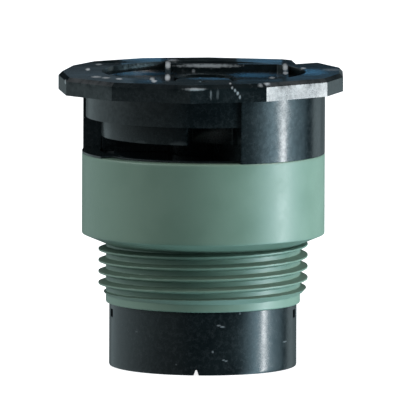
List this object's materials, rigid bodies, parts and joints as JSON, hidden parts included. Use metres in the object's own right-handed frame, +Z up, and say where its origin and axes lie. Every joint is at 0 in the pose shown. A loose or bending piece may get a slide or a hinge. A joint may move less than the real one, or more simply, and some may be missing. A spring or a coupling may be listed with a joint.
{
  "type": "pop-up sprinkler spray nozzle",
  "caption": "Fixed-spray nozzle for a pop-up sprinkler: black flanged cap over a one-sided spray window, green threaded collar, black inlet skirt with strainer.",
  "frame": {"origin": "centre of the inlet skirt's bottom rim, on the nozzle's axis", "axes": "+Z up the axis from the inlet to the flange; the spray window opens towards -Y, between the polar angles -187 and -72 degrees from +X"},
  "size_m": [0.024, 0.024, 0.0246],
  "materials": {
    "black_plastic": "moulded semi-gloss",
    "green_plastic": "moulded satin",
    "stainless": "turned",
    "natural_plastic": "moulded",
    "dark_plastic": "moulded",
    "soft_rubber": "matte",
    "woven_steel": "woven wire"
  },
  "bodies": {
    "nozzle_body": {"threaded_collar": "green_plastic", "inlet_body": "black_plastic", "orifice_plate": "black_plastic", "spray_insert": "black_plastic", "deflector_cap": "black_plastic", "throttle_seat": "natural_plastic", "pressure_disc": "soft_rubber", "disc_retainer": "natural_plastic"},
    "seal_ring": {"screw_seal": "soft_rubber"},
    "radius_screw": {"radius_screw": "stainless"},
    "inlet_screen": {"screen_frame": "dark_plastic", "screen_mesh": "woven_steel", "screen_cap": "dark_plastic"}
  },
  "joints": [
    {"name": "screw_travel", "type": "slide", "parent": "nozzle_body", "child": "seal_ring", "axis": [0, 0, 1], "range_m": [-0.00162, 0]},
    {"name": "screw_turn", "type": "hinge", "parent": "seal_ring", "child": "radius_screw", "pos_m": [0, 0, 0.0232], "axis": [0, 0, 1], "range_deg": [-1170, 0]},
    {"name": "screen_pull", "type": "slide", "parent": "nozzle_body", "child": "inlet_screen", "axis": [0, 0, -1], "range_m": [0, 0.006]}
  ],
  "couplings": [
    {"joint": "screw_turn", "follows": "screw_travel", "rad_per_m": 12566}
  ]
}
